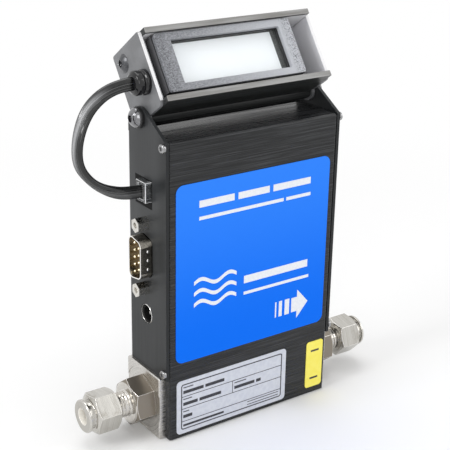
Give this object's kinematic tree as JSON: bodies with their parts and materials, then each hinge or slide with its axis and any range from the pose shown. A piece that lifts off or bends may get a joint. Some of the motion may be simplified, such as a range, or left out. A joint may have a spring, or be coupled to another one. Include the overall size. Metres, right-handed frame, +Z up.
{
  "type": "mass flow meter",
  "caption": "Gas mass flow meter: steel flow body with compression fittings, slim black folded case, side connectors and a tilting display joined by a flat cord.",
  "frame": {"origin": "under the middle of the flow body, on the face it stands on, below the flow axis", "axes": "+X along the flow from the inlet to the outlet, +Z up towards the display, -Y the labelled front"},
  "size_m": [0.1305, 0.038, 0.1517],
  "materials": {
    "stainless": "satin machined",
    "stainless_fitting": "bright turned",
    "case_black": "black, fine brushed, satin",
    "case_aluminium": "plain",
    "readout_aluminium": "black, satin",
    "black_screw": "black oxide",
    "bright_screw": "polished",
    "nickel": "bright plated",
    "gold": "bright plated",
    "copper": "enamelled wire",
    "blue_label": "printed film, satin",
    "silver_label": "printed film, satin",
    "yellow_label": "printed film, satin",
    "black_plastic": "moulded",
    "blue_plastic": "moulded",
    "clear_plastic": "clear moulded",
    "bezel_plastic": "fine textured",
    "light_panel": "diffuse",
    "green_board": "solder mask",
    "glass": "clear",
    "black_rubber": "smooth"
  },
  "bodies": {
    "case": {"base_block": "stainless", "bypass_element": "stainless", "sensor_base": "stainless", "sensor_tube": "stainless", "sensor_windings": "copper", "sensor_cover": "case_aluminium", "front_cover": "case_black", "rear_cover": "case_black", "cover_screws": "black_screw", "base_screws": "black_screw", "front_label": "blue_label", "spec_label": "silver_label", "caution_label": "yellow_label", "connector_shell": "nickel", "connector_insert": "black_plastic", "connector_pins": "gold", "connector_jackscrews": "nickel", "power_jack": "black_plastic", "power_jack_pin": "nickel", "modular_jack": "black_plastic", "modular_plug": "clear_plastic", "main_board": "green_board", "board_spacers": "case_aluminium", "board_screws": "bright_screw", "board_chips": "black_plastic", "board_capacitors": "case_aluminium", "trim_potentiometers": "blue_plastic", "display_cord": "black_rubber", "inlet_fitting_body": "stainless_fitting", "inlet_nut": "stainless_fitting", "inlet_front_ferrule": "stainless_fitting", "inlet_back_ferrule": "stainless_fitting", "inlet_seal": "black_rubber", "outlet_fitting_body": "stainless_fitting", "outlet_nut": "stainless_fitting", "outlet_front_ferrule": "stainless_fitting", "outlet_back_ferrule": "stainless_fitting", "outlet_seal": "black_rubber"},
    "display": {"readout_channel": "readout_aluminium", "readout_left_plate": "readout_aluminium", "readout_right_plate": "readout_aluminium", "plate_screws": "black_screw", "pivot_screws": "bright_screw", "pivot_washers": "black_rubber", "readout_bezel": "bezel_plastic", "lcd_frame": "black_plastic", "lcd_glass": "glass", "backlight": "light_panel", "readout_board": "green_board", "readout_standoffs": "bright_screw", "cord_bushing": "black_rubber"}
  },
  "joints": [
    {"name": "display_tilt", "type": "hinge", "parent": "case", "child": "display", "pos_m": [0, 0.003, 0.1209], "axis": [-1, 0, 0], "range_deg": [-35.5, 29.5], "deforming": ["display_cord"]}
  ]
}
